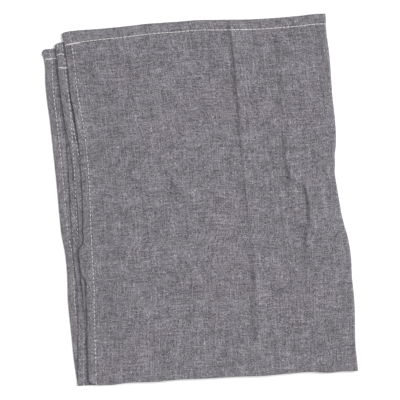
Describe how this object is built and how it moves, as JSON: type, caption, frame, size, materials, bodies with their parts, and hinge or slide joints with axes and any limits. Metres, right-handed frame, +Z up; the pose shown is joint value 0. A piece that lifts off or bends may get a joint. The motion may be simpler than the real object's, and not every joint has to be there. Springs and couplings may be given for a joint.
{
  "type": "folded dish towel",
  "caption": "Hemmed dish towel, folded in half both ways and lying flat, with rounded folds, soft creases and its hemmed corners a little fanned out at one corner.",
  "frame": {"origin": "on the surface that the towel lies on, under the middle of its footprint", "axes": "+Y along the folded towel's length, from its first fold to its hemmed ends; +X across it, towards its second fold; +Z up"},
  "size_m": [0.292, 0.3628, 0.0104],
  "materials": {
    "cloth": "soft washed chambray in plain weave, charcoal and off-white threads",
    "thread": "off-white sewing thread, matt"
  },
  "bodies": {
    "root": {"towel": "cloth"}
  },
  "joints": []
}
